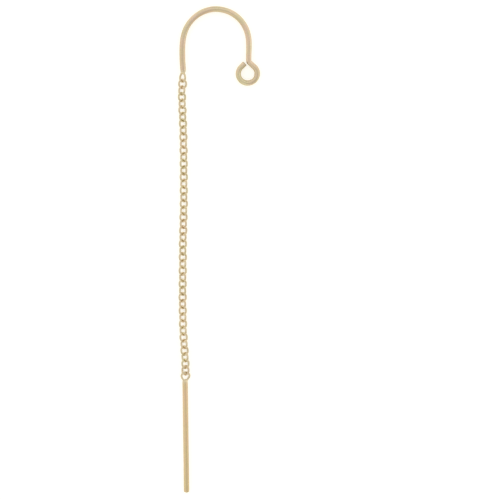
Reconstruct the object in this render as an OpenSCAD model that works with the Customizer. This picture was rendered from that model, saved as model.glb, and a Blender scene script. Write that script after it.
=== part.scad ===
// A threader earring: a bent wire ear hook, a fine cable chain and a thin straight bar.
// It lies flat on a surface as it would by itself. All sizes are in millimetres.
// X is across, Y is along the earring with the hook's top at the far end, and Z is up.

/* [Ear hook] */
// Diameter of the hook's wire
hook_wire = 0.76; // [0.60:0.02:0.90]
// Radius of the half-round top, at the middle of the wire
arc_radius = 4.6; // [4.0:0.1:6.0]
// Straight length of the leg that carries the chain
chain_leg = 4.15; // [4.0:0.05:6.0]
// Length of that leg's end that runs thinner towards the soldered loop
leg_taper = 0.9; // [0.5:0.05:1.5]
// Diameter at the tip of the thinner end
leg_tip = 0.58; // [0.50:0.02:0.60]
// Straight length of the leg above the open ring
ring_leg = 2.48; // [2.0:0.02:4.0]
// Radius of the sharp kink above the ring, at the middle of the wire
kink_radius = 0.45; // [0.40:0.01:0.50]
// Straight length of wire from the kink to the ring
ring_neck = 0.84; // [0.80:0.01:1.00]
// Radius of the open ring, at the middle of the wire
ring_radius = 1.27; // [1.2:0.01:1.6]
// Straight length of wire past the ring, up to the cut end
ring_tail = 0.75; // [0.3:0.05:0.80]
// Diameter of the drop of solder that holds each end loop
solder = 0.50; // [0.40:0.02:0.56]
// How much the hook leans on its soldered loop, in degrees
hook_tilt = 1.05; // [0:0.05:2]

/* [Chain] */
// Number of loose links between the two soldered loops
link_count = 44; // [20:1:60]
// Distance from one link's middle to the next one's
link_pitch = 0.92; // [0.90:0.01:1.00]
// Diameter of the links' wire
link_wire = 0.27; // [0.24:0.01:0.28]
// Width of a link, outside
link_width = 1.41; // [1.35:0.01:1.50]
// Free play between each link and the next when the chain is straight
link_play = 0.125; // [0.12:0.005:0.15]
// How far the odd links lean from lying flat, in degrees
odd_lean = 41; // [38:1:52]

/* [Bar] */
// Distance from the last link's middle to the middle of the bar's loop, which lies slack
bar_step = 0.85; // [0.80:0.01:0.92]
// How far the bar's loop sits above the middle of the bar
loop_lift = 0.08; // [0.06:0.01:0.12]
// Diameter of the bar
bar_wire = 0.70; // [0.50:0.02:0.90]
// Length of the bar
bar_length = 15.4; // [8:0.1:30]
// Chamfer at each end of the bar
bar_chamfer = 0.08; // [0.04:0.01:0.15]
// Lean of the bar to the side, in degrees
bar_lean = 0.66; // [-3:0.02:3]

/* [Hidden] */
hook_r = hook_wire / 2;
tip_r = leg_tip / 2;
link_r = link_wire / 2;
bar_r = bar_wire / 2;
$fn = 48;

// A link is two half circles joined by two short straight sides.
side_radius = (link_width - link_wire) / 2;
link_reach = link_pitch + link_wire + link_play;
link_side = link_reach - 2 * side_radius;

// The links are numbered down the chain. The first and the last are the two soldered loops.
last_loop = link_count + 1;
first_y = -chain_leg - 0.60;
function along(k) = k / last_loop;

// The lie of the chain, a row for each bend that shows.
// share: how far down the chain. sway: shift to the side. turn: extra turn of the link there.
// rise: how far the link is lifted off the surface by the loop above it.
share = 0;
sway = 1;
turn = 2;
rise = 3;
lie = [
  [0.000, -0.095,  3, 0.00],
  [0.022, -0.095,  8, 0.08],
  [0.045, -0.210,  0, 0.00],
  [0.090, -0.155,  0, 0.00],
  [0.180, -0.005,  0, 0.00],
  [0.270,  0.060,  0, 0.00],
  [0.420,  0.070,  0, 0.00],
  [0.555, -0.060,  0, 0.00],
  [0.755, -0.100,  0, 0.00],
  [0.845, -0.020,  0, 0.00],
  [0.955,  0.295,  0, 0.00],
  [0.978,  0.295, -9, 0.00],
  [1.000,  0.255, 16, 0.00]
];
function column(c) = [for (row = lie) [row[share], row[c]]];
function lie_at(k, c) = lookup(along(k), column(c));

// Each link lies about square to its neighbours and rests on its lower side.
chain_x = 0.16 - arc_radius;
function link_x(k) = chain_x + lie_at(k, sway);
function link_y(k) = first_y - min(k, link_count) * link_pitch - max(k - link_count, 0) * bar_step;
function link_roll(k) = k % 2 == 1 ? odd_lean - lie_at(k, turn) : odd_lean - 90 - lie_at(k, turn);
function rest_height(k) = side_radius * sin(abs(link_roll(k))) + link_r + lie_at(k, rise);
function link_yaw(k) = atan2(link_x(k + 0.5) - link_x(k - 0.5), link_pitch);

// The hook rests on its soldered loop and on the far side of its top.
hook_rise = hook_r + arc_radius * sin(hook_tilt);

// The earring's outline, used to put the middle of its length and width over the origin.
bar_top_y = link_y(last_loop) - link_reach / 2 + 0.10;
bar_x = link_x(last_loop) + 0.01;
ring_x = arc_radius + kink_radius + (ring_neck - kink_radius - ring_radius) * sin(45);
right_edge = ring_x + ring_radius + hook_r;
left_edge = min([for (k = [1 : link_count]) link_x(k) - side_radius * cos(link_roll(k)) - link_r]);
far_edge = arc_radius + hook_r;
near_edge = bar_top_y - bar_length * cos(bar_lean);
middle = [(right_edge + left_edge) / 2, (far_edge + near_edge) / 2];

module gold() {
  color([0.86, 0.71, 0.45]) children();
}

// Wire is laid piece by piece, each from the origin along Y, with what follows set at its end.
module straight(r, length) {
  rotate([-90, 0, 0]) cylinder(r = r, h = length);
  translate([0, length, 0]) children();
}

module turn_left(r, radius, sweep) {
  translate([-radius, 0, 0]) {
    rotate_extrude(angle = sweep) translate([radius, 0]) circle(r = r);
    rotate([0, 0, sweep]) translate([radius, 0, 0]) children();
  }
}

module turn_right(r, radius, sweep) {
  translate([radius, 0, 0]) {
    rotate([0, 0, 180 - sweep]) rotate_extrude(angle = sweep) translate([radius, 0]) circle(r = r);
    rotate([0, 0, -sweep]) translate([-radius, 0, 0]) children();
  }
}

// One link, long way along Y, lying flat round the origin.
module link() {
  translate([side_radius, -link_side / 2, 0])
    straight(link_r, link_side)
    turn_left(link_r, side_radius, 180)
    straight(link_r, link_side)
    turn_left(link_r, side_radius, 180);
}

// A link set in its place in the chain.
module placed_link(k, height) {
  translate([link_x(k), link_y(k), height])
    rotate([0, 0, link_yaw(k)])
    rotate([0, link_roll(k), 0])
    link();
}

// The half-round top and the leg that carries the chain, thinner towards its tip.
module chain_side() {
  translate([arc_radius, 0, 0])
    turn_left(hook_r, arc_radius, 180)
    straight(hook_r, chain_leg - leg_taper)
    union() {
      rotate([-90, 0, 0]) cylinder(r1 = hook_r, r2 = tip_r, h = leg_taper);
      translate([0, leg_taper, 0]) sphere(d = solder);
    }
}

// The other leg with the kink, the open ring and the cut end.
module ring_side() {
  translate([arc_radius, 0, 0]) rotate([0, 0, 180])
    straight(hook_r, ring_leg)
    turn_left(hook_r, kink_radius, 45)
    straight(hook_r, ring_neck)
    turn_right(hook_r, ring_radius, 270)
    straight(hook_r, ring_tail);
}

// The bent wire with its soldered loop.
module ear_hook() {
  gold() translate([-middle.x, -middle.y, 0]) {
    translate([0, 0, hook_rise]) rotate(a = hook_tilt, v = [-1, 1, 0]) {
      chain_side();
      ring_side();
    }
    placed_link(0, rest_height(0));
  }
}

// The loose links, each through its neighbours.
module chain() {
  gold() translate([-middle.x, -middle.y, 0]) {
    for (k = [1 : link_count]) {
      placed_link(k, rest_height(k));
    }
  }
}

// The straight bar with its soldered loop.
module threader_bar() {
  gold() translate([-middle.x, -middle.y, 0]) {
    placed_link(last_loop, bar_r + loop_lift);
    translate([bar_x, bar_top_y, bar_r]) rotate([0, 0, bar_lean]) rotate([90, 0, 0]) {
      sphere(d = solder);
      cylinder(r1 = bar_r - bar_chamfer, r2 = bar_r, h = bar_chamfer);
      translate([0, 0, bar_chamfer]) cylinder(r = bar_r, h = bar_length - 2 * bar_chamfer);
      translate([0, 0, bar_length - bar_chamfer])
        cylinder(r1 = bar_r, r2 = bar_r - bar_chamfer, h = bar_chamfer);
    }
  }
}

ear_hook();
chain();
threader_bar();
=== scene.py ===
# %% [markdown]
# # A threader earring in pale gold
# The earring is a bent wire hook, a fine cable chain and a thin straight bar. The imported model
# holds their true sizes. This script builds each of them again as a finer mesh in the same
# place: drawn wire with soft solder joints, and links that each have their own seam. Then it
# gives them a polished gold and lights them on white paper, seen straight from above.

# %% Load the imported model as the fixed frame
import math

import bmesh
import bpy
import numpy as np
from mathutils import Matrix, Vector


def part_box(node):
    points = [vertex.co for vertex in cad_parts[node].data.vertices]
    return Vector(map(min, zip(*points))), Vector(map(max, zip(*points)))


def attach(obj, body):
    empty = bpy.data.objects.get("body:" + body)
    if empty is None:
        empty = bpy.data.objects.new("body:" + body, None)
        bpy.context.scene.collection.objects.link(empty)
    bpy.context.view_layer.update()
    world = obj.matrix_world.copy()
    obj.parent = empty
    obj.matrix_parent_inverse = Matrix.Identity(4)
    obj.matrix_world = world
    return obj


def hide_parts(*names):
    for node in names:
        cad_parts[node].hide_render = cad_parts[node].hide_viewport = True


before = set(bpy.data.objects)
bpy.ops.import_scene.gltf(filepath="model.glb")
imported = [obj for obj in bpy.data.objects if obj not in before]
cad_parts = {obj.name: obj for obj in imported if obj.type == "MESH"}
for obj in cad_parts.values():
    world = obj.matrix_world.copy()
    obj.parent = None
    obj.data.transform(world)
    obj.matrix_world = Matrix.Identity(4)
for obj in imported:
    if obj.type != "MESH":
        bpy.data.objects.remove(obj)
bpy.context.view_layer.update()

MM = 0.001

# %% [markdown]
# ## The camera
# The earring lies flat and is photographed from straight above, so the camera looks down. A
# picture of 500 pixels shows 69 mm, and the earring lies left of its middle. A long lens keeps
# the wire from leaning outwards at the ends, as it would under a short lens held close.

# %% Place the camera above the paper
scene = bpy.context.scene
picture_px = 500
px_mm = 0.138
earring_px = Vector((218.81, 249.52))
camera_height = 0.40
sensor = 36.0

frame_middle = Vector((picture_px / 2 - earring_px.x, earring_px.y - picture_px / 2)) * px_mm * MM
field = picture_px * px_mm * MM
eye = bpy.data.cameras.new("camera")
eye.sensor_width = sensor
eye.lens = sensor * camera_height / field
eye.clip_start = 0.02
eye.clip_end = 20.0
camera = bpy.data.objects.new("camera", eye)
camera.location = (frame_middle.x, frame_middle.y, camera_height)
scene.collection.objects.link(camera)
scene.camera = camera
print("field", round(field / MM, 1), "mm, lens", round(eye.lens, 1), "mm")

# %% [markdown]
# ## Small helpers for node trees
# The light, the wire, the solder, the chain and the gold are all node trees that the script
# builds, so that a reader can see every step. What they do again and again, such as sums, soft
# fades and storing a value on the mesh, is a helper here. The inputs of a geometry tree are
# named for what they do to the wire, and its sizes are millimetres. The finished mesh is
# brought to metres at the end.

# %% Put nodes into a tree
def put(tree, kind, sources=None, **settings):
    """Adds a node, sets its options, and joins or fills the inputs in sources.

    A list of sources goes into one input that takes several.
    """
    node = tree.nodes.new(kind)
    for key, value in settings.items():
        setattr(node, key, value)
    for socket, source in (sources or {}).items():
        into = node.inputs[socket]
        for one in source if isinstance(source, list) else [source]:
            if isinstance(one, bpy.types.NodeSocket):
                tree.links.new(one, into)
            else:
                into.default_value = one
    return node


def maths(tree, operation, *sources):
    """A number worked out from others, each a socket or a plain number."""
    return put(tree, "ShaderNodeMath", dict(enumerate(sources)), operation=operation).outputs["Value"]


def vector(tree, operation, *sources, output="Vector", **named):
    """A vector worked out from others, or a number where output is Value."""
    inputs = dict(enumerate(sources)) | named
    return put(tree, "ShaderNodeVectorMath", inputs, operation=operation).outputs[output]


def xyz(tree, **parts):
    """A vector put together from its parts X, Y and Z, each 0 where it isn't given."""
    return put(tree, "ShaderNodeCombineXYZ", parts).outputs["Vector"]


def fade(tree, value, full, gone, high=1.0):
    """The number high where value is full, falling softly to 0 where it is gone."""
    return put(tree, "ShaderNodeMapRange", {
        "Value": value, "From Min": full, "From Max": gone, "To Min": high, "To Max": 0.0,
    }, interpolation_type="SMOOTHSTEP").outputs["Result"]


# %% Begin, mark and end a geometry tree
def new_tree(name, inputs):
    """An empty geometry tree with one geometry in and out, and the named inputs."""
    tree = bpy.data.node_groups.new(name, "GeometryNodeTree")
    tree.interface.new_socket("Geometry", in_out="INPUT", socket_type="NodeSocketGeometry")
    for title, kind in inputs:
        tree.interface.new_socket(title, in_out="INPUT", socket_type=kind)
    tree.interface.new_socket("Geometry", in_out="OUTPUT", socket_type="NodeSocketGeometry")
    return tree


def position(tree):
    """Where each point of a geometry lies."""
    return put(tree, "GeometryNodeInputPosition").outputs["Position"]


def stored(tree, name, kind="FLOAT"):
    """The value that each point carries under a name."""
    node = put(tree, "GeometryNodeInputNamedAttribute", {"Name": name}, data_type=kind)
    return node.outputs["Attribute"]


def store(tree, geometry, name, value, kind="FLOAT", domain="POINT"):
    """Stores a value on a geometry under a name, and returns the geometry."""
    return put(tree, "GeometryNodeStoreNamedAttribute", {
        "Geometry": geometry, "Name": name, "Value": value,
    }, data_type=kind, domain=domain).outputs["Geometry"]


def end_tree(tree, into, geometry):
    """Ends a tree: smooth shading, instances realized, and the material set."""
    smooth = put(tree, "GeometryNodeSetShadeSmooth", {"Geometry": geometry})
    solid = put(tree, "GeometryNodeRealizeInstances", {"Geometry": smooth.outputs["Geometry"]})
    finish = put(tree, "GeometryNodeSetMaterial", {
        "Geometry": solid.outputs["Geometry"],
        "Material": into.outputs["Material"],
    })
    put(tree, "NodeGroupOutput", {"Geometry": finish.outputs["Geometry"]})


# %% Run a geometry tree
def run_tree(tree, host_mesh, values):
    """Runs a tree on a mesh with the given inputs, and returns the plain mesh that it makes."""
    host = bpy.data.objects.new(tree.name + "_host", host_mesh)
    scene.collection.objects.link(host)
    modifier = host.modifiers.new(tree.name, "NODES")
    modifier.node_group = tree
    for item in tree.interface.items_tree:
        if item.in_out == "INPUT" and item.name in values:
            modifier[item.identifier] = values[item.name]
    bpy.context.view_layer.update()
    graph = bpy.context.evaluated_depsgraph_get()
    made = bpy.data.meshes.new_from_object(host.evaluated_get(graph), depsgraph=graph)
    bpy.data.objects.remove(host)
    # Empty material slots are dropped, so that only the gold is left.
    for index in reversed(range(len(made.materials))):
        if made.materials[index] is None:
            made.materials.pop(index=index)
    return made


# %% [markdown]
# ## Paper and light
# Small polished goods are shot on white paper in a tent of soft light. Round wire mirrors
# nearly the whole tent in its narrow width, so the tent decides how the metal looks: an even
# white makes it flat, and panels with hard edges draw stripes on it that the photo doesn't
# show. So the tent is one level of white with wide soft lobes added to it. The low ones keep
# the wire's edges pale, and a darker one at the lower right gives it a darker side. One weak
# panel, high on the far side, gives the wire its top light. The paper is lit from below and a
# little warm, so it stays white and takes a faint warm shade only close to the wire.

# %% Hang the tent and its panel
scene.view_settings.view_transform = "Standard"
scene.view_settings.look = "None"


def towards(azimuth, height):
    """The direction at an azimuth and a height in degrees."""
    a, e = math.radians(azimuth), math.radians(height)
    return Vector((math.cos(a) * math.cos(e), math.sin(a) * math.cos(e), math.sin(e)))


def tent(name, level, lobes):
    """A white world of one level, with soft lobes: azimuth, height, half width and gain."""
    world = bpy.data.worlds.new(name)
    world.use_nodes = True
    tree = world.node_tree
    ray = put(tree, "ShaderNodeTexCoord").outputs["Generated"]
    total = level
    for azimuth, height, half, gain in lobes:
        near = vector(tree, "DOT_PRODUCT", ray, towards(azimuth, height), output="Value")
        lobe = put(tree, "ShaderNodeMapRange", {
            "Value": near, "From Min": math.cos(math.radians(half)), "To Max": gain,
        }, interpolation_type="SMOOTHSTEP").outputs["Result"]
        total = maths(tree, "ADD", lobe, total)
    background = tree.nodes["Background"]
    background.inputs["Color"].default_value = (1.0, 1.0, 1.0, 1.0)
    tree.links.new(total, background.inputs["Strength"])
    return world


def soft_panel(name, azimuth, height, reach, size, radiance):
    """Hangs a square light panel at an azimuth and height in degrees, facing the earring."""
    lamp = bpy.data.lights.new(name, "AREA")
    lamp.shape = "SQUARE"
    lamp.size = size
    lamp.energy = radiance * math.pi * size * size
    away = towards(azimuth, height)
    panel = bpy.data.objects.new(name, lamp)
    panel.location = away * reach
    panel.rotation_mode = "QUATERNION"
    panel.rotation_quaternion = away.to_track_quat("Z", "Y")
    scene.collection.objects.link(panel)


scene.world = tent("tent", level=0.92, lobes=[
    (160, 40, 55, 0.09),
    (35, 40, 45, 0.09),
    (268, 45, 40, 0.11),
    (315, 45, 50, -0.14),
    (0, 5, 35, 0.42),
    (50, 5, 35, 0.30),
    (130, 5, 35, 0.30),
    (180, 5, 30, 0.18),
    (250, 5, 40, 0.22),
])
soft_panel("panel_far", azimuth=80, height=62, reach=1.1, size=0.4, radiance=0.38)
print("tent of", len(scene.world.node_tree.nodes), "nodes")

# %% Lay the paper
paper_half = 2.0
paper_rough = 0.9
paper_shine = 0.1


def light_table(name, white, glow, strength):
    """A square of paper, lit through from below, at the height that the earring rests on."""
    mesh = bpy.data.meshes.new(name)
    corners = [(x * paper_half, y * paper_half, 0) for x, y in ((-1, -1), (1, -1), (1, 1), (-1, 1))]
    mesh.from_pydata(corners, [], [(0, 1, 2, 3)])
    material = bpy.data.materials.new(name)
    material.use_nodes = True
    sheet = material.node_tree.nodes["Principled BSDF"]
    sheet.inputs["Base Color"].default_value = (*white, 1.0)
    sheet.inputs["Roughness"].default_value = paper_rough
    sheet.inputs["Specular IOR Level"].default_value = paper_shine
    sheet.inputs["Emission Color"].default_value = (*glow, 1.0)
    sheet.inputs["Emission Strength"].default_value = strength
    mesh.materials.append(material)
    table = bpy.data.objects.new(name, mesh)
    scene.collection.objects.link(table)
    print(name, "is", 2 * paper_half, "m wide")


light_table("white_paper", white=(0.55, 0.53, 0.46), glow=(1.0, 1.0, 0.97), strength=0.62)

# %% [markdown]
# ## The line of the wire
# A hook like this is bent from one straight length of wire: round a mandrel for the top, with
# flat pliers for the kink, and round the tip of round-nose pliers for the ring. Its line could
# be a curve drawn over the photo by its handles, but its bends would never be quite round. So
# the maker's own moves make it here, as a walk that goes straight or turns by an angle, and
# every stretch is tangent to the next. The sizes repeat those of the CAD model. A hand bends no
# wire quite true, so a table then moves the line up to 0.14 mm to the side, as the photo shows.

# %% Define a walk of straight and round stretches
step_mm = 0.09
turn_step = math.radians(3.0)


def run_lengths(points):
    """The length of the line up to each of its points."""
    run = [0.0]
    for a, b in zip(points, points[1:]):
        run.append(run[-1] + (b - a).length)
    return np.array(run)


def profile(places, table):
    """Reads a table of places and values at each of the places, straight between its rows."""
    at, values = zip(*table)
    return np.interp(places, at, values)


class Walk:
    """A line in the XY plane, made by going straight and turning, in millimetres."""

    def __init__(self, start, heading):
        self.points = [Vector(start)]
        self.heading = math.radians(heading)

    def straight(self, length, step=step_mm):
        """Goes straight ahead, in even steps of about the given size."""
        steps = max(1, round(length / step))
        ahead = Vector((math.cos(self.heading), math.sin(self.heading)))
        start = self.points[-1]
        for i in range(1, steps + 1):
            self.points.append(start + ahead * length * i / steps)
        return self

    def turn(self, radius, sweep):
        """Turns left by sweep degrees, or right where sweep is below zero."""
        side = math.copysign(1, sweep)
        steps = max(1, round(math.radians(abs(sweep)) / turn_step))
        inwards = self.heading + side * math.pi / 2
        centre = self.points[-1] + Vector((math.cos(inwards), math.sin(inwards))) * radius
        for i in range(1, steps + 1):
            a = inwards + math.pi + math.radians(sweep) * i / steps
            self.points.append(centre + Vector((math.cos(a), math.sin(a))) * radius)
        self.heading += math.radians(sweep)
        return self

    def drift(self, table):
        """Moves each point to the left by the distance that the table gives for its run."""
        left = profile(run_lengths(self.points), table)
        last = len(self.points) - 1
        moved = []
        for i, point in enumerate(self.points):
            ahead = (self.points[min(i + 1, last)] - self.points[max(i - 1, 0)]).normalized()
            moved.append(point + Vector((-ahead.y, ahead.x)) * left[i])
        self.points = moved
        return self


print("a full turn takes", round(2 * math.pi / turn_step), "steps")

# %% Name the hook's sizes
hook_r = 0.38
arc_radius = 4.6
chain_leg = 4.15
leg_taper = 0.9
tip_r = 0.29
ring_leg = 2.48
kink_radius = 0.45
kink_turn = 45
ring_neck = 0.84
ring_radius = 1.27
ring_turn = 270
ring_tail = 0.75
hook_tilt = math.radians(1.05)
thickest = 1.04
print("hook is bent from wire of", 2 * hook_r, "mm")

# %% Set the hook's own plane in its place
hook_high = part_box("ear_hook")[1] / MM
neck_across = (ring_neck - kink_radius - ring_radius) * math.sin(math.radians(kink_turn))
ring_x = arc_radius + kink_radius + neck_across
arc_centre = Vector((hook_high.x - ring_x - ring_radius - hook_r, hook_high.y - arc_radius - hook_r))
hook_rise = hook_r * thickest + arc_radius * math.sin(hook_tilt)
# The soldered loop holds up the lower left, so the hook leans about its other diagonal.
lean = Matrix.Rotation(hook_tilt, 4, Vector((-1, 1, 0)))
place_hook = Matrix.Translation((*arc_centre, hook_rise)) @ lean
print("half-round top is centred at", [round(c, 2) for c in arc_centre], "mm")

# %% Bend the hook's line
hook_walk = Walk((-arc_radius, -chain_leg), 90)
hook_walk.straight(chain_leg).turn(arc_radius, -180).straight(ring_leg)
hook_walk.turn(kink_radius, kink_turn).straight(ring_neck)
hook_walk.turn(ring_radius, -ring_turn).straight(ring_tail)
arc_end = chain_leg + math.pi * arc_radius
half_kink = kink_radius * math.radians(kink_turn) / 2
kink_at = arc_end + ring_leg + half_kink
ring_at = kink_at + half_kink + ring_neck
ring_end = ring_at + ring_radius * math.radians(ring_turn)
print("ring starts", round(ring_at, 1), "mm along the wire")

# %% Move the line to the side as a hand bends it
def arc_at(degrees):
    """How far along the wire a place on the half-round top is, by its angle from the right."""
    return chain_leg + arc_radius * math.radians(180 - degrees)


hand_bend = [
    (0.00, -0.135), (0.40, -0.126), (0.95, -0.092), (1.50, -0.046), (2.30, -0.026), (3.10, -0.016),
    (3.80, -0.040), (arc_at(178), -0.086), (arc_at(166), -0.126), (arc_at(150), -0.116),
    (arc_at(130), -0.084), (arc_at(118), -0.050), (arc_at(106), -0.016), (arc_at(94), 0.020),
    (arc_at(70), 0.030), (arc_at(52), 0.034), (arc_at(34), 0.020), (arc_at(10), -0.015),
    (arc_end + 0.8, 0.005), (kink_at - 0.6, -0.040), (kink_at, -0.016), (ring_at, 0.034),
    (ring_at + 0.8, 0.052), (ring_at + 2.0, 0.034), (ring_at + 2.9, 0.010), (ring_at + 3.8, 0.030),
    (ring_end - 0.6, 0.014), (ring_end + ring_tail, 0.000),
]
hook_walk.drift(hand_bend)
hook_run = run_lengths(hook_walk.points)
print("hook wire is bent from", round(hook_run[-1], 1), "mm")

# %% [markdown]
# ## Wire on a line
# Drawn wire is the same circle all along its line. A curve with a round bevel would give that
# tube too, but its points carry no dents and no values for the material. So a tree sweeps a
# circle along a guide. The guide's points carry their own thickness, which thins the leg towards
# its tip and rounds the cut ends, and their own dent, which presses the wire a little flat where
# pliers held it. The tree also stores where each point lies on the wire: across it, up from it
# and along it.

# %% Build the tree that sweeps wire along a guide
def round_profile(tree, sides):
    """A circle of radius 1 to sweep, which stores where each of its points lies."""
    circle = put(tree, "GeometryNodeCurvePrimitiveCircle", {"Resolution": sides, "Radius": 1.0})
    return store(tree, circle.outputs["Curve"], "round", position(tree), "FLOAT_VECTOR")


def store_wire_space(tree, tube, thick, run):
    """Stores across, up and along, in millimetres, on a swept tube."""
    wide = vector(tree, "SCALE", stored(tree, "round", "FLOAT_VECTOR"), Scale=thick)
    parts = put(tree, "ShaderNodeSeparateXYZ", {"Vector": wide})
    space = xyz(tree, X=parts.outputs["X"], Y=parts.outputs["Y"], Z=run)
    return store(tree, tube, "wire_space", space, "FLOAT_VECTOR")


def wire_tree():
    """Sweeps wire along a guide whose points hold its run, thickness and dents."""
    tree = new_tree("wire_on_guide", [
        ("Sides", "NodeSocketInt"),
        ("Material", "NodeSocketMaterial"),
    ])
    into = put(tree, "NodeGroupInput")
    line = put(tree, "GeometryNodeMeshToCurve", {"Mesh": into.outputs["Geometry"]})
    thick = stored(tree, "thick")
    tube = put(tree, "GeometryNodeCurveToMesh", {
        "Curve": line.outputs["Curve"],
        "Profile Curve": round_profile(tree, into.outputs["Sides"]),
        "Scale": thick,
        "Fill Caps": True,
    })
    marked = store_wire_space(tree, tube.outputs["Mesh"], thick, stored(tree, "run"))
    flat = xyz(tree, X=1.0, Y=1.0, Z=maths(tree, "SUBTRACT", 1.0, stored(tree, "dent")))
    dented = put(tree, "GeometryNodeSetPosition", {
        "Geometry": marked,
        "Position": vector(tree, "MULTIPLY", position(tree), flat),
    })
    end_tree(tree, into, dented.outputs["Geometry"])
    return tree


sweep_wire = wire_tree()
print("wire tree has", len(sweep_wire.nodes), "nodes")

# %% Define guides and soft steps
def guide_mesh(name, points, closed=False, **columns):
    """A line of edges through points, with a number for each point in each named column."""
    count = len(points)
    edges = [(i, (i + 1) % count) for i in range(count if closed else count - 1)]
    mesh = bpy.data.meshes.new(name)
    mesh.from_pydata([tuple(p) for p in points], edges, [])
    for title, values in columns.items():
        mesh.attributes.new(title, "FLOAT", "POINT").data.foreach_set("value", values)
    return mesh


def ease(x, low, high):
    """A smooth step from 0 at low to 1 at high."""
    t = np.clip((x - low) / (high - low), 0.0, 1.0)
    return t * t * (3 - 2 * t)


# %% [markdown]
# ## Solder joints
# Solder runs into the corner between two wires and leaves a smooth hollow fillet, thick in the
# crotch and thin at its edge. A bevel on a cut through two tubes comes out ragged, so the joint
# is made as a field: at each point in space the distances to the wire's tip, to the drop and to
# the loop are blended by a smooth minimum, and the skin where the blend is zero is the metal.

# %% Blend the distances round a joint
cell_mm = 0.02


def line_distance(tree, guide):
    """How far each point in space is from a guide's line."""
    found = put(tree, "GeometryNodeObjectInfo", {"Object": guide})
    return put(tree, "GeometryNodeProximity", {
        "Geometry": found.outputs["Geometry"],
        "Sample Position": position(tree),
    }, target_element="EDGES").outputs["Distance"]


def joint_field(tree, given, along, reach):
    """How far each point in space is from the joint's skin, with the metal below zero."""
    skin = put(tree, "ShaderNodeMapRange", {
        "Value": along,
        "From Min": 0.0,
        "From Max": given["Stub Length"],
        "To Min": given["Skin At Tip"],
        "To Max": given["Skin At Wire"],
    }).outputs["Result"]
    loop = maths(tree, "SUBTRACT", line_distance(tree, given["Loop Guide"]), given["Loop Radius"])
    stub = maths(tree, "SUBTRACT", line_distance(tree, given["Stub Guide"]), skin)
    drop = maths(tree, "SUBTRACT", reach, given["Drop Radius"])
    wet = maths(tree, "SMOOTH_MIN", loop, drop, given["Fillet"])
    return maths(tree, "SMOOTH_MIN", wet, stub, given["Fillet"])


def joint_skin(tree, given, field):
    """The surface where the field is zero, between the corners Low and High.

    The volume holds 1 less the field, so the skin lies where it holds 1.
    """
    box = vector(tree, "SUBTRACT", given["High"], given["Low"])
    cells = put(tree, "ShaderNodeSeparateXYZ", {
        "Vector": vector(tree, "SCALE", box, Scale=1 / cell_mm),
    })
    volume = put(tree, "GeometryNodeVolumeCube", {
        "Density": maths(tree, "SUBTRACT", 1.0, field),
        "Min": given["Low"],
        "Max": given["High"],
        "Resolution X": cells.outputs["X"],
        "Resolution Y": cells.outputs["Y"],
        "Resolution Z": cells.outputs["Z"],
    })
    return put(tree, "GeometryNodeVolumeToMesh", {
        "Volume": volume.outputs["Volume"],
        "Threshold": 1.0,
    }).outputs["Mesh"]


# %% Build the tree that runs solder round a loop and a wire's tip
solder_core = 0.30
solder_edge = 0.62
fine_full = -0.20
fine_gone = 0.10
fine_reach = 2.0


def joint_tree():
    """Joins a wire to the loop at its tip, and marks the solder and the finer wire."""
    tree = new_tree("solder_joint", [
        ("Loop Guide", "NodeSocketObject"),
        ("Stub Guide", "NodeSocketObject"),
        ("Tip", "NodeSocketVector"),
        ("Towards Wire", "NodeSocketVector"),
        ("Loop Radius", "NodeSocketFloat"),
        ("Skin At Tip", "NodeSocketFloat"),
        ("Skin At Wire", "NodeSocketFloat"),
        ("Stub Length", "NodeSocketFloat"),
        ("Drop Radius", "NodeSocketFloat"),
        ("Fillet", "NodeSocketFloat"),
        ("Low", "NodeSocketVector"),
        ("High", "NodeSocketVector"),
        ("Material", "NodeSocketMaterial"),
    ])
    into = put(tree, "NodeGroupInput")
    given = into.outputs
    from_tip = vector(tree, "SUBTRACT", position(tree), given["Tip"])
    along = vector(tree, "DOT_PRODUCT", from_tip, given["Towards Wire"], output="Value")
    reach = vector(tree, "LENGTH", from_tip, output="Value")
    blob = joint_skin(tree, given, joint_field(tree, given, along, reach))
    one = put(tree, "GeometryNodeMeshBoolean", {
        "Mesh 2": [given["Geometry"], blob],
    }, operation="UNION", solver="MANIFOLD")
    soldered = store(tree, one.outputs["Mesh"], "solder", fade(tree, reach, solder_core, solder_edge))
    loop_side = fade(tree, along, fine_full, fine_gone)
    near_tip = maths(tree, "LESS_THAN", reach, fine_reach)
    marked = store(tree, soldered, "fine", maths(tree, "MULTIPLY", loop_side, near_tip))
    end_tree(tree, into, marked)
    return tree


run_solder = joint_tree()
print("joint tree has", len(run_solder.nodes), "nodes")

# %% [markdown]
# ## How the chain lies
# Every link of a cable chain lies about square to its neighbours. On a table each one leans on
# a lower side, so from above they all look half open. A simulation could drop the links on a
# table, but not where the photo shows them, with the chain's line swaying by a hair here and
# there. So a short table gives that sway, and formulas give each link its place, lean and
# height, as in the CAD model.

# %% Name the chain's sizes
link_count = 44
last_loop = link_count + 1
link_pitch = 0.92
link_r = 0.135
side_radius = 0.57
link_play = 0.125
link_reach = link_pitch + 2 * link_r + link_play
link_side = link_reach - 2 * side_radius
odd_lean = 41.0
bar_step = 0.85
loop_lift = 0.08
bar_r = 0.35
loop_below_tip = 0.60
chain_aside = 0.16
first_y = -chain_leg - loop_below_tip
chain_x = chain_aside - arc_radius
print("links are", round(link_reach + 2 * link_r, 2), "mm long outside")

# %% Work out where each link lies
share, sway, turn, rise = range(4)
lie = np.array([
    [0.000, -0.095, 3, 0.00],
    [0.022, -0.095, 8, 0.08],
    [0.045, -0.210, 0, 0.00],
    [0.090, -0.155, 0, 0.00],
    [0.180, -0.005, 0, 0.00],
    [0.270, 0.060, 0, 0.00],
    [0.420, 0.070, 0, 0.00],
    [0.555, -0.060, 0, 0.00],
    [0.755, -0.100, 0, 0.00],
    [0.845, -0.020, 0, 0.00],
    [0.955, 0.295, 0, 0.00],
    [0.978, 0.295, -9, 0.00],
    [1.000, 0.255, 16, 0.00],
])


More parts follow.
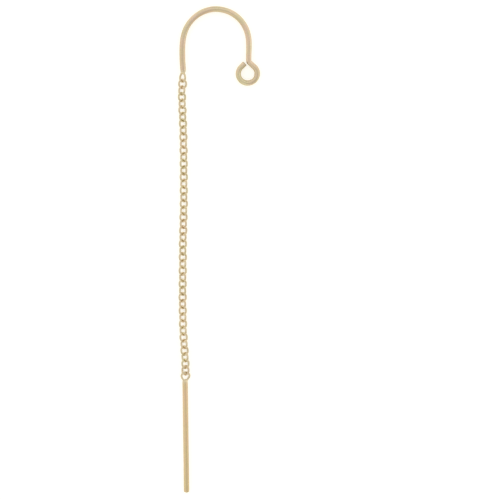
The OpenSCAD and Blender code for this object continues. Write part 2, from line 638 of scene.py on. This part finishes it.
def lie_at(k, which):
    """The value for link k in one column of the table."""
    return float(np.interp(k / last_loop, lie[:, share], lie[:, which]))


def link_x(k):
    return arc_centre.x + chain_x + lie_at(k, sway)


def link_y(k):
    slack_steps = max(k - link_count, 0)
    return arc_centre.y + first_y - min(k, link_count) * link_pitch - slack_steps * bar_step


def link_roll(k):
    square = 0 if k % 2 == 1 else -90
    return math.radians(odd_lean + square - lie_at(k, turn))


def link_yaw(k):
    return math.atan2(link_x(k + 0.5) - link_x(k - 0.5), link_pitch)


def link_height(k, wide=1.0):
    """The height of link k's middle. The bar holds its loop up, and the others lie on the table."""
    if k == last_loop:
        return bar_r + loop_lift
    return side_radius * wide * math.sin(abs(link_roll(k))) + link_r + lie_at(k, rise)


print("links run from", round(link_y(1), 2), "to", round(link_y(link_count), 2), "mm in Y")

# %% [markdown]
# ## The form of the soldered loops
# The two soldered loops are links too, but they were pinched towards their wire before it was
# soldered in, so they have the form of a drop. Scaling a finished link would thin its wire as
# well, so only its line is bent: it starts as a link's, is drawn in towards the wire, and is
# then rounded off, because pinched wire keeps no corner.

# %% Bend the line of a soldered loop
loop_points = 96
pinch_from = -0.3
pinch_to = 0.85
lift_from = -0.2


def rounded_ring(points, count=120, passes=24):
    """A closed line through the points, evenly spaced and with its corners rounded off."""
    closed = np.vstack([points, points[:1]])
    run = np.concatenate([[0.0], np.cumsum(np.linalg.norm(np.diff(closed, axis=0), axis=1))])
    even = np.linspace(0.0, run[-1], count, endpoint=False)
    ring = np.column_stack([np.interp(even, run, closed[:, c]) for c in range(3)])
    for _ in range(passes):
        ring = (np.roll(ring, 1, 0) + 2 * ring + np.roll(ring, -1, 0)) / 4
    return ring


def loop_line(k, end, pinch, wide, lift, skew, nod):
    """The middle line of soldered loop k in its place.

    The wire meets the loop at the end of its length that end names, 1 or -1. Pinch draws the
    sides in towards the wire, wide spreads them, lift shortens the free end, skew turns the
    loop's free end aside, in degrees, and nod raises it.
    """
    a = 2 * np.pi * (np.arange(loop_points) + 0.5) / loop_points
    y = side_radius * np.sin(a)
    y += np.copysign(link_side / 2, y)
    towards_wire = end * y / (side_radius + link_side / 2)
    drawn_in = 1 - pinch * ease(towards_wire, pinch_from, pinch_to)
    x = side_radius * wide * np.cos(a) * drawn_in
    y += end * lift * ease(-towards_wire, lift_from, 1.0)
    z = nod * (1 - towards_wire) / 2
    yaw = Matrix.Rotation(link_yaw(k) + math.radians(skew), 4, "Z")
    turned = yaw @ Matrix.Rotation(link_roll(k), 4, "Y")
    place = Matrix.Translation((link_x(k), link_y(k), link_height(k, wide))) @ turned
    return [place @ Vector(p) for p in rounded_ring(np.column_stack([x, y, z]))]


# %% [markdown]
# ## The gold
# Pale yellow gold is a warm mirror that is never quite even. An image on the wire would show its
# pixels close up, so all that is uneven comes from noise. Drawing the wire through a plate
# leaves faint lines along it, tumbling leaves a fine grain, and handling leaves hair scratches.
# The lines have to follow the wire round its bends, so they read the coordinates that the trees
# stored on it, and so do a few broad bands of darker gold that fall by chance round the wire.
# The drift of colour reads Object coordinates. Solder is a little duller and softer than the
# wire, and so is a cut end. The straight sides of each link carry painted shade, a darker gold
# that fades out towards the link's ends, which stay bright.

# %% Choose the tones
hook_tones = (0.685, 0.526, 0.382), (0.622, 0.550, 0.342)
chain_tones = (0.825, 0.655, 0.487), (0.745, 0.698, 0.445)
bar_tones = (0.685, 0.497, 0.306), (0.640, 0.517, 0.286)
loop_gold = (0.66, 0.56, 0.375)
solder_gold = (0.66, 0.57, 0.39)
line_gold = (0.46, 0.34, 0.18)
burr_gold = (0.42, 0.40, 0.24)
# The gold of the painted shade on the links' straight sides.
painted_shade_gold = (0.48, 0.39, 0.27)
edge_gold = (0.88, 0.77, 0.56)

# How far each mark takes the colour to its own tone, where the mark is strongest.
band_share = 0.40
line_share = 0.35
# How far the painted shade darkens the links' straight sides.
painted_shade_share = 0.38
solder_share = 0.75
cut_share = 0.60


def mix_colour(tree, amount, a, b):
    """Mixes two colours, each a socket or three numbers."""
    a, b = [c if isinstance(c, bpy.types.NodeSocket) else (*c, 1.0) for c in (a, b)]
    return put(tree, "ShaderNodeMix", {0: amount, 6: a, 7: b}, data_type="RGBA").outputs[2]


# %% Define patterns in the metal
line_stretch = 1.0, 1.0, 0.03
band_stretch = 1.0, 1.0, 0.05
hair_stretch = 1.0, 0.05, 1.0
hair_range = 0.64, 0.70


def spread(tree, source, low, high, to_low=0.0, to_high=1.0):
    """Brings what lies between low and high to the range from to_low to to_high."""
    return put(tree, "ShaderNodeMapRange", {
        "Value": source, "From Min": low, "From Max": high, "To Min": to_low, "To Max": to_high,
    }).outputs["Result"]


def noise(tree, coordinates, scale, detail, rough=0.5, seed=0.0):
    """Soft patches by chance, finer where scale is larger."""
    return put(tree, "ShaderNodeTexNoise", {
        "Vector": coordinates, "W": seed, "Scale": scale, "Detail": detail, "Roughness": rough,
    }, noise_dimensions="4D").outputs["Fac"]


def stretched(tree, coordinates, by, turned=0.0):
    """Coordinates scaled on each axis and then turned about Z, which draws a pattern out."""
    return put(tree, "ShaderNodeMapping", {
        "Vector": coordinates, "Rotation": (0.0, 0.0, turned), "Scale": by,
    }).outputs["Vector"]


def scratches(tree, place, turned, scale):
    """Rare long hairs, all turned by one angle."""
    hairs = noise(tree, stretched(tree, place, hair_stretch, turned), scale, detail=1.0)
    return spread(tree, hairs, *hair_range)


def mark(tree, title, output="Fac"):
    """What a geometry tree or a guide stored on the piece, which is 0 where nothing did."""
    return put(tree, "ShaderNodeAttribute", attribute_name=title).outputs[output]


# %% Define the gold's colour and relief
tone_start = 0.40
band_range = 0.42, 0.64
line_range = 0.50, 0.80
micrometre = MM / 1000


def gold_colour(tree, tones, tone_top, drift, band, drawn):
    """A drift between two tones, under the marks that making and wear left on it."""
    tone = maths(tree, "ADD", drift, mark(tree, "own_tone"))
    colour = mix_colour(tree, spread(tree, tone, tone_start, tone_top), *tones)
    for amount, gold in (
        (mark(tree, "fine"), loop_gold),
        (spread(tree, band, *band_range, to_high=band_share), line_gold),
        (spread(tree, drawn, *line_range, to_high=line_share), line_gold),
        # Painted shade: the links' straight sides take a darker gold.
        (maths(tree, "MULTIPLY", mark(tree, "idle"), painted_shade_share), painted_shade_gold),
        (maths(tree, "MULTIPLY", mark(tree, "solder"), solder_share), solder_gold),
        (maths(tree, "MULTIPLY", mark(tree, "cut"), cut_share), burr_gold),
    ):
        colour = mix_colour(tree, amount, colour, gold)
    return colour


def gold_relief(tree, layers):
    """The normal of layers of relief, each a height and its depth in micrometres."""
    normal = None
    for height, depth in layers:
        bump = put(tree, "ShaderNodeBump", {
            "Height": height, "Distance": depth * micrometre, "Strength": 1.0,
        })
        if normal is not None:
            tree.links.new(normal, bump.inputs["Normal"])
        normal = bump.outputs["Normal"]
    return normal


# %% Define the gold
scratch_depth = 0.6
wobble_depth = 34.0
grain_range = 0.30, 0.75
grain_smooths = 0.07
grain_roughens = 0.09
hair_roughens = 0.10
solder_roughens = 0.08
cut_roughens = 0.20


def pale_gold(name, tones, tone_top, tone_seed, band_seed, line_depth, grain_depth, dull):
    """A procedural gold. The depths are in micrometres, and dull is the middle roughness.

    The colour drifts from the first tone to the second, which it reaches at tone_top. The seeds
    choose where the tones lie along the piece, and where the broad darker bands lie round the wire.
    """
    material = bpy.data.materials.new(name)
    material.use_nodes = True
    tree = material.node_tree
    metal = tree.nodes["Principled BSDF"]
    metal.inputs["Metallic"].default_value = 1.0
    metal.inputs["Specular Tint"].default_value = (*edge_gold, 1.0)

    place = vector(tree, "SCALE", put(tree, "ShaderNodeTexCoord").outputs["Object"], Scale=1 / MM)
    wire = mark(tree, "wire_space", "Vector")
    solder = mark(tree, "solder")
    drift = noise(tree, place, scale=0.6, detail=3.0, seed=tone_seed)
    drawn = noise(tree, stretched(tree, wire, line_stretch), scale=26.0, detail=3.0, rough=0.6)
    # Broad patches of a darker gold fall by chance across the wire and slowly along it.
    band = noise(tree, stretched(tree, wire, band_stretch), scale=1.9, detail=1.0, seed=band_seed)
    grain = noise(tree, place, scale=14.0, detail=4.0, rough=0.65)
    wobble = noise(tree, place, scale=1.3, detail=1.0)
    one_way = scratches(tree, place, turned=0.6, scale=18.0)
    other_way = scratches(tree, place, turned=-0.9, scale=15.0)
    hair = maths(tree, "MAXIMUM", one_way, other_way)

    rough = spread(tree, grain, *grain_range, dull - grain_smooths, dull + grain_roughens)
    for amount, rougher in (
        (hair, hair_roughens),
        (solder, solder_roughens),
        (mark(tree, "cut"), cut_roughens),
    ):
        rough = maths(tree, "MULTIPLY_ADD", amount, rougher, rough)
    bare = maths(tree, "SUBTRACT", 1.0, solder)
    relief = gold_relief(tree, [
        (maths(tree, "MULTIPLY", drawn, bare), line_depth),
        (grain, grain_depth),
        (maths(tree, "MULTIPLY", hair, -1.0), scratch_depth),
        (wobble, wobble_depth),
    ])
    tree.links.new(gold_colour(tree, tones, tone_top, drift, band, drawn), metal.inputs["Base Color"])
    tree.links.new(rough, metal.inputs["Roughness"])
    tree.links.new(relief, metal.inputs["Normal"])
    return material


# %% Make the three golds
hook_gold = pale_gold(
    "drawn_hook_wire", hook_tones, tone_top=0.60, tone_seed=11.9, band_seed=13.6,
    line_depth=1.6, grain_depth=0.8, dull=0.21,
)
chain_gold = pale_gold(
    "fine_link_wire", chain_tones, tone_top=1.00, tone_seed=10.2, band_seed=0.0,
    line_depth=0.8, grain_depth=0.8, dull=0.24,
)
bar_gold = pale_gold(
    "drawn_bar_wire", bar_tones, tone_top=0.64, tone_seed=32.3, band_seed=15.3,
    line_depth=1.8, grain_depth=0.8, dull=0.22,
)
print("made", hook_gold.name, chain_gold.name, bar_gold.name)

# %% [markdown]
# ## Soldering a loop on
# The hook and the bar each carry one end loop, and both joints are made the same way: a guide
# for the loop, a short guide up the wire's tip, and the field's box round both. The result is
# one closed skin.

# %% Define the soldering
def guide_object(name, points, closed=False):
    """A line through points as an object, which the joint's tree can measure distances to."""
    guide = bpy.data.objects.new(name, guide_mesh(name, points, closed))
    scene.collection.objects.link(guide)
    return guide


def solder_loop(
    wire_mesh, loop, tip, ahead, skin_at_tip, skin_at_wire, setback, stub, drop, fillet, material,
):
    """Joins a loop's line to the wire whose tip is given, in one closed skin.

    The wire's own part of the skin runs from setback to stub behind the tip.
    """
    lower = tip + ahead * setback
    upper = tip + ahead * stub
    loop_guide = guide_object("loop_guide", loop, closed=True)
    stub_guide = guide_object("stub_guide", [lower, upper])
    room = Vector((1, 1, 1)) * (max(skin_at_tip, skin_at_wire) + fillet)
    corners = np.array([*loop, tip, upper])
    made = run_tree(run_solder, wire_mesh, {
        "Loop Guide": loop_guide,
        "Stub Guide": stub_guide,
        "Tip": tip,
        "Towards Wire": ahead,
        "Loop Radius": link_r,
        "Skin At Tip": skin_at_tip,
        "Skin At Wire": skin_at_wire,
        "Stub Length": stub,
        "Drop Radius": drop,
        "Fillet": fillet,
        "Low": Vector(corners.min(0)) - room,
        "High": Vector(corners.max(0)) + room,
        "Material": material,
    })
    for guide in (loop_guide, stub_guide):
        bpy.data.objects.remove(guide)
    return made


# %% [markdown]
# ## Showing a piece
# Each finished mesh is brought to metres and shown in place of its CAD node. Counting its open
# edges and its volume shows that it is closed and that its faces point outwards, and its box
# shows that it kept the node's size.

# %% Define the last steps of a piece
to_metres = Matrix.Scale(MM, 4)
# What the gold reads stays on the mesh, and what only the trees needed is taken off.
# The kept marks include the painted shade on the links' straight sides.
kept_marks = ("position", "wire_space", "solder", "fine", "cut", "own_tone", "idle")


def show_piece(name, mesh, node):
    """Brings a mesh to metres and shows it in place of its CAD node."""
    mesh.transform(to_metres)
    mesh.name = name
    marks = [a.name for a in mesh.attributes if a.domain == "POINT" and not a.name.startswith(".")]
    for spare in marks:
        if spare not in kept_marks:
            mesh.attributes.remove(mesh.attributes[spare])
    piece = bpy.data.objects.new(name, mesh)
    scene.collection.objects.link(piece)
    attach(piece, "root")
    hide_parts(node)
    shell = bmesh.new()
    shell.from_mesh(mesh)
    open_edges = sum(1 for edge in shell.edges if len(edge.link_faces) != 2)
    volume = shell.calc_volume(signed=True) / MM ** 3
    triangles = sum(len(face.verts) - 2 for face in shell.faces)
    shell.free()
    low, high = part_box(node)
    own = np.array([v.co for v in mesh.vertices])
    off = max(np.abs(own.min(0) - low).max(), np.abs(own.max(0) - high).max()) / MM
    print(name, triangles, "triangles,", open_edges, "open edges,", round(volume, 2), "mm3")
    print(name, "keeps to its node's box within", round(off, 3), "mm")


# %% [markdown]
# ## The ear hook
# The wire is swept along the walk in the hook's own plane. Its leg thins towards the tip, and
# its other end was cut with side cutters, which rounds the edge a little. The wire is up to 4%
# thicker than the CAD model's on the half-round top, and bending drew it thinner at the kink
# and in the ring, by up to 8%. Pliers pressed it where they held it: at the kink and at the
# start and end of the ring. The whole hook leans by a degree on its soldered loop, as it does
# on a table.

# %% Work out how thick the hook's wire is along its line
flat_share = 0.3
thin_from = -0.4 * leg_taper
thin_to = 0.7 * leg_taper


def dents(run, marks):
    """How far the wire is pressed flat along its length: a soft dip at each of the marks."""
    pressed = np.zeros(len(run))
    for middle, half, depth in marks:
        dip = depth * (1 - ease(np.abs(run - middle), flat_share * half, half))
        pressed = np.maximum(pressed, dip)
    return pressed


hook_length = hook_run[-1]
from_end = hook_length - hook_run
taper = tip_r + (hook_r - tip_r) * ease(hook_run, thin_from, thin_to)
draw = profile(hook_run, [
    (0.0, 1.02), (arc_at(155), 1.02), (arc_at(135), 1.00), (arc_at(112), thickest),
    (arc_at(90), 1.02), (arc_at(60), thickest), (arc_at(30), thickest), (arc_end, 1.01),
    (kink_at, 0.92), (ring_at, 1.01), (ring_at + 1.1, 1.00), (ring_at + 1.7, 0.95),
    (ring_at + 3.3, 0.98), (ring_at + 4.7, 0.94), (ring_end + ring_tail, 0.95),
])
rounded_tip = profile(hook_run, [(0.0, 0.80), (0.02, 0.92), (0.05, 0.98), (0.08, 1.0)])
rounded_cut = profile(from_end, [(0.0, 0.86), (0.02, 0.94), (0.05, 0.985), (0.09, 1.0)])
plier_marks = [(kink_at, 0.55, 0.05), (ring_at + 0.9, 0.9, 0.04), (hook_length - 0.5, 0.5, 0.04)]
hook_thick = taper * draw * rounded_tip * rounded_cut
print("hook wire is", round(2 * hook_thick.min(), 2), "to", round(2 * hook_thick.max(), 2), "mm thick")

# %% Sweep the hook's wire and solder its loop on
wire_sides = 40
hook_guide = guide_mesh(
    "hook_guide",
    [Vector((*p, 0)) for p in hook_walk.points],
    thick=hook_thick,
    run=hook_run,
    dent=dents(hook_run, plier_marks),
    cut=1 - ease(from_end, 0.02, 0.22),
)
hook_wire = run_tree(sweep_wire, hook_guide, {"Sides": wire_sides, "Material": hook_gold})
hook_wire.transform(place_hook)
leg_tip = place_hook @ Vector((*hook_walk.points[0], 0))
# The first three steps of the walk give the direction up the leg.
up_leg = place_hook.to_3x3() @ Vector((*(hook_walk.points[3] - hook_walk.points[0]), 0))
hook_mesh = solder_loop(
    hook_wire, loop_line(0, end=1, pinch=0.30, wide=1.09, lift=-0.02, skew=-1.0, nod=0.0),
    tip=leg_tip, ahead=up_leg.normalized(),
    skin_at_tip=0.275, skin_at_wire=0.34, setback=0.06, stub=0.55, drop=0.22, fillet=0.18,
    material=hook_gold,
)
show_piece("ear_hook_wire", hook_mesh, "ear_hook")

# %% [markdown]
# ## The chain
# Forty-four links repeat one shape. An Array modifier would copy it with one even step, but
# these links lean by turns and sway, so a tree makes one link and sets it on 44 points. Each
# point carries its link's lean and turn. A link is a circle of points pulled apart into a
# stadium and swept with fine wire, and it was closed with a touch of solder, a small lump on
# one side. Every link is flipped by chance, so the lumps don't line up, and has its own tone.
# The chain is laid out nearly taut, so each link almost touches the next, and the few links at
# both ends are moved a hair along the chain until they meet the soldered loops. All of it is
# raised by the height of a lump, so that none sinks into the paper.

# %% Make one link
seam_reach = 0.16
seam_edge = 0.28
# How near a link's middle its painted shade is full, and how far out it is gone.
painted_shade_full = 0.25
painted_shade_gone = 0.50


def link_line(tree, given, along_link):
    """A link's middle line: a circle of points whose halves are pulled apart."""
    half_side = maths(tree, "MULTIPLY", given["Straight Side"], 0.5)
    pull = maths(tree, "MULTIPLY", maths(tree, "SIGN", along_link), half_side)
    circle = put(tree, "GeometryNodeCurvePrimitiveCircle", {
        "Resolution": loop_points,
        "Radius": given["Side Radius"],
    })
    half_step = put(tree, "GeometryNodeTransform", {
        "Geometry": circle.outputs["Curve"],
        "Rotation": (0.0, 0.0, math.pi / loop_points),
    })
    stadium = put(tree, "GeometryNodeSetPosition", {
        "Geometry": half_step.outputs["Geometry"],
        "Offset": xyz(tree, Y=pull),
    })
    even = put(tree, "GeometryNodeResampleCurve", {
        "Curve": stadium.outputs["Geometry"],
        "Count": given["Steps"],
    })
    run = put(tree, "GeometryNodeSplineParameter").outputs["Length"]
    return store(tree, even.outputs["Curve"], "run", run)


def one_link(tree, given):
    """A link of swept wire with the lump of its seam, its solder and its straight sides marked for
    painted shade.
    """
    here = position(tree)
    along_link = put(tree, "ShaderNodeSeparateXYZ", {"Vector": here}).outputs["Y"]
    seam_place = xyz(tree, X=given["Side Radius"])
    from_seam = vector(tree, "DISTANCE", here, seam_place, output="Value")
    lump = fade(tree, from_seam, 0.0, seam_reach, high=given["Seam Lump"])
    tube = put(tree, "GeometryNodeCurveToMesh", {
        "Curve": link_line(tree, given, along_link),
        "Profile Curve": round_profile(tree, given["Sides"]),
        "Scale": maths(tree, "MULTIPLY", given["Wire Radius"], maths(tree, "ADD", 1.0, lump)),
    })
    marked = store_wire_space(tree, tube.outputs["Mesh"], given["Wire Radius"], stored(tree, "run"))
    seamed = store(tree, marked, "solder", fade(tree, from_seam, seam_reach, seam_edge))
    from_middle = maths(tree, "ABSOLUTE", along_link)
    # The straight sides are marked for painted shade, which fades out towards the link's ends.
    return store(tree, seamed, "idle", fade(tree, from_middle, painted_shade_full, painted_shade_gone))


# %% Build the chain's tree
tone_spread = 0.5


def chain_tree():
    """Sets a link on each point of its guide, flipped and toned by chance."""
    tree = new_tree("cable_chain", [
        ("Side Radius", "NodeSocketFloat"),
        ("Straight Side", "NodeSocketFloat"),
        ("Wire Radius", "NodeSocketFloat"),
        ("Seam Lump", "NodeSocketFloat"),
        ("Steps", "NodeSocketInt"),
        ("Sides", "NodeSocketInt"),
        ("Seed", "NodeSocketInt"),
        ("Material", "NodeSocketMaterial"),
    ])
    into = put(tree, "NodeGroupInput")
    given = into.outputs
    flip = put(tree, "FunctionNodeRandomValue", {"Seed": given["Seed"]}, data_type="BOOLEAN")
    half_turn = maths(tree, "MULTIPLY", flip.outputs[3], math.pi)
    roll = maths(tree, "ADD", stored(tree, "roll"), half_turn)
    rotation = put(tree, "FunctionNodeEulerToRotation", {
        "Euler": xyz(tree, Y=roll, Z=stored(tree, "yaw")),
    })
    placed = put(tree, "GeometryNodeInstanceOnPoints", {
        "Points": given["Geometry"],
        "Instance": one_link(tree, given),
        "Rotation": rotation.outputs["Rotation"],
    })
    next_seed = maths(tree, "ADD", given["Seed"], 1.0)
    chance = put(tree, "FunctionNodeRandomValue", {"Seed": next_seed}, data_type="FLOAT").outputs[1]
    own_tone = maths(tree, "MULTIPLY", chance, tone_spread)
    toned = store(tree, placed.outputs["Instances"], "own_tone", own_tone, domain="INSTANCE")
    end_tree(tree, into, toned)
    return tree


make_chain = chain_tree()
print("chain tree has", len(make_chain.nodes), "nodes")

# %% Set the links in their places
taut_play = 0.012
seam_lump = 0.09
seam_lift = seam_lump * link_r
slack = {1: -0.046, 2: -0.032, 3: -0.019, 4: -0.008, 41: 0.013, 42: 0.028, 43: 0.045, 44: 0.065}
links = range(1, link_count + 1)
chain_guide = guide_mesh(
    "chain_guide",
    [(link_x(k), link_y(k) + slack.get(k, 0.0), link_height(k) + seam_lift) for k in links],
    roll=[link_roll(k) for k in links],
    yaw=[link_yaw(k) for k in links],
)
chain_mesh = run_tree(make_chain, chain_guide, {
    "Side Radius": side_radius,
    "Straight Side": link_side - link_play + taut_play,
    "Wire Radius": link_r,
    "Seam Lump": seam_lump,
    "Steps": 64,
    "Sides": 18,
    "Seed": 7,
    "Material": chain_gold,
})
show_piece("cable_chain", chain_mesh, "chain")

# %% [markdown]
# ## The threader bar
# The bar is a straight length of the same kind of wire, cut at the foot and left with the low
# cone that the cutters make. Its head is rounded into the solder that holds its loop, and it is
# 3% thicker than the CAD model's bar. A cylinder would do for its body, but it is swept by the
# same tree as the hook, so that its ends are shaped and the lines of drawing run down it too.

# %% Draw the bar's line
bar_length = 15.4
bar_lean = math.radians(0.66)
bar_aside = 0.01
bar_into_loop = 0.10
head_part = 0.4
foot_part = 0.3
end_step = 0.02
middle_step = 0.2

loop_foot = link_y(last_loop) - link_reach / 2
bar_top = Vector((link_x(last_loop) + bar_aside, loop_foot + bar_into_loop))
bar_walk = Walk(bar_top, math.degrees(bar_lean) - 90)
bar_walk.straight(head_part, end_step)
bar_walk.straight(bar_length - (head_part + foot_part), middle_step)
bar_walk.straight(foot_part, end_step)
bar_walk.drift([(0.0, -0.026), (6.0, -0.016), (bar_length, 0.006)])
bar_run = run_lengths(bar_walk.points)
print("bar is", round(bar_run[-1], 2), "mm long")

# %% Sweep the bar and solder its loop on
bar_thicker = 1.03

# The bar lies on the paper, so its radius is also the height of its middle.
bar_body = bar_r * bar_thicker
from_foot = bar_run[-1] - bar_run
head = profile(bar_run, [(0.0, 0.70), (0.02, 0.81), (0.05, 0.91), (0.09, 0.975), (0.14, 1.0)])
foot = profile(from_foot, [
    (0.0, 0.29), (0.03, 0.42), (0.06, 0.62), (0.09, 0.84), (0.12, 0.955), (0.17, 1.0),
])
bar_guide = guide_mesh(
    "bar_guide",
    [Vector((*p, bar_body)) for p in bar_walk.points],
    thick=bar_body * head * foot,
    run=bar_run,
    dent=np.zeros(len(bar_run)),
    cut=1 - ease(from_foot, 0.02, 0.16),
)
bar_wire = run_tree(sweep_wire, bar_guide, {"Sides": wire_sides, "Material": bar_gold})
bar_mesh = solder_loop(
    bar_wire, loop_line(last_loop, end=-1, pinch=0.52, wide=1.11, lift=0.02, skew=0.0, nod=0.16),
    tip=Vector((*bar_walk.points[0], bar_body)),
    ahead=Vector((math.sin(bar_lean), -math.cos(bar_lean), 0)),
    skin_at_tip=0.31, skin_at_wire=0.35, setback=0.14, stub=0.5, drop=0.20, fillet=0.24,
    material=bar_gold,
)
show_piece("threader_bar_wire", bar_mesh, "threader_bar")
